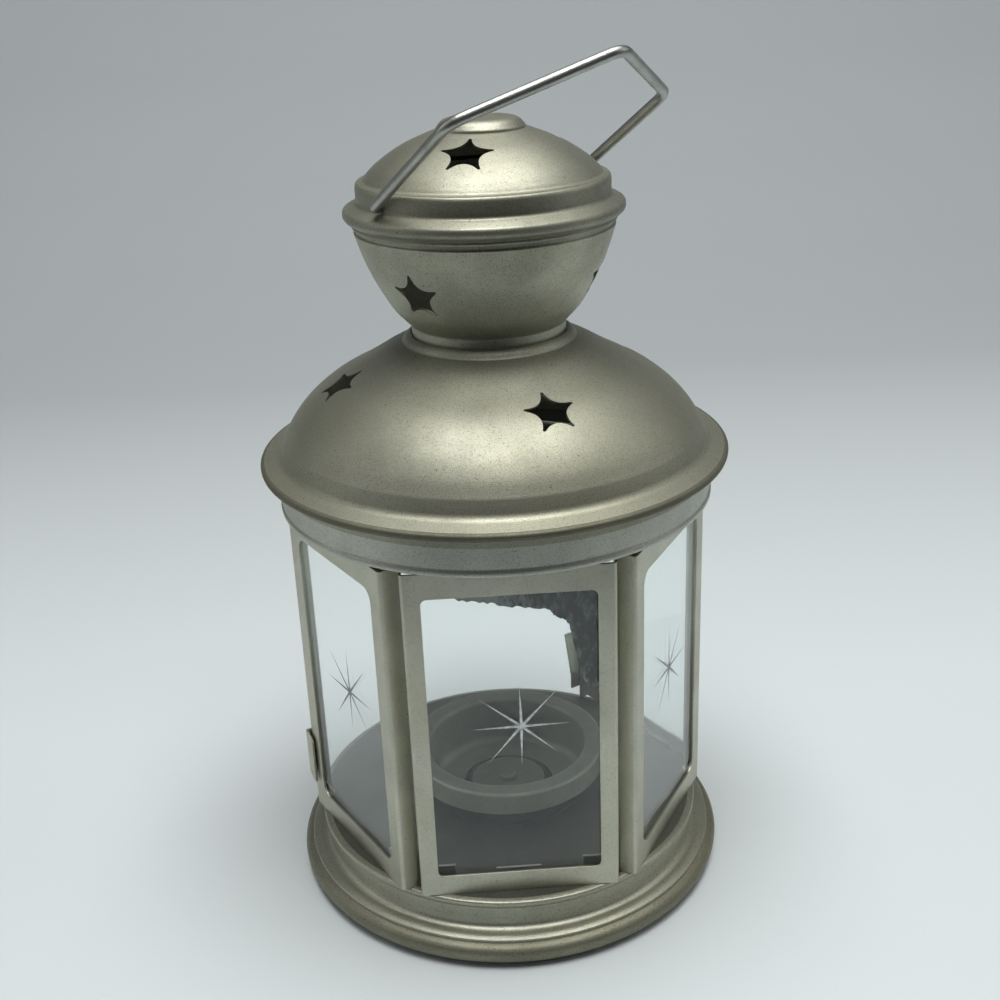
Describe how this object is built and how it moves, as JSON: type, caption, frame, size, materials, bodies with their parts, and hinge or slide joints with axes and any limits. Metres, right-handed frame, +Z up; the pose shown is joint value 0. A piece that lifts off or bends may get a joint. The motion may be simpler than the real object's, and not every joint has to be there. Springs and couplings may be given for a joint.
{
  "type": "punched tin lantern",
  "caption": "Punched tin candle lantern with four glazed panels and an open back around a candle cup, a domed roof with star-shaped holes, a vent bowl with a cap and a wire bail.",
  "frame": {"origin": "centre of the foot, on the surface the lantern stands on", "axes": "+Z up along the lantern's axis; the front panel faces -Y; the two rear left sides of the cage are open"},
  "size_m": [0.1114, 0.1114, 0.2041],
  "materials": {
    "base_sheet": "satin galvanised sheet with fine dark specks",
    "cage_sheet": "satin galvanised sheet with fine dark specks",
    "roof_sheet": "satin galvanised sheet, spun, with fine dark specks",
    "cap_sheet": "satin galvanised sheet, spun, with fine dark specks",
    "cup_sheet": "brighter satin sheet",
    "glass": "clear glass with a wheel-cut star on each pane",
    "wire": "satin galvanised wire"
  },
  "bodies": {
    "lantern": {"base_foot": "base_sheet", "base_plinth": "base_sheet", "candle_cup": "cup_sheet", "cup_rivet": "cup_sheet", "panel_front": "cage_sheet", "panel_right": "cage_sheet", "panel_rear_right": "cage_sheet", "panel_left": "cage_sheet", "glass_front": "glass", "glass_right": "glass", "glass_rear_right": "glass", "glass_left": "glass", "clips_front": "cage_sheet", "clips_right": "cage_sheet", "clips_rear_right": "cage_sheet", "clips_left": "cage_sheet", "left_ear": "cage_sheet", "right_ear": "cage_sheet", "cage_ring": "cage_sheet", "roof_collar": "roof_sheet", "roof_dome": "roof_sheet", "vent_bowl": "cap_sheet", "cap_band": "cap_sheet", "cap_dome": "cap_sheet", "cap_button": "cap_sheet"},
    "bail": {"bail": "wire"}
  },
  "joints": [
    {"name": "bail_hinge", "type": "hinge", "parent": "lantern", "child": "bail", "pos_m": [0, 0, 0.17265], "axis": [-0.7902, -0.6129, 0], "range_deg": [-42.3, 151.7]}
  ]
}
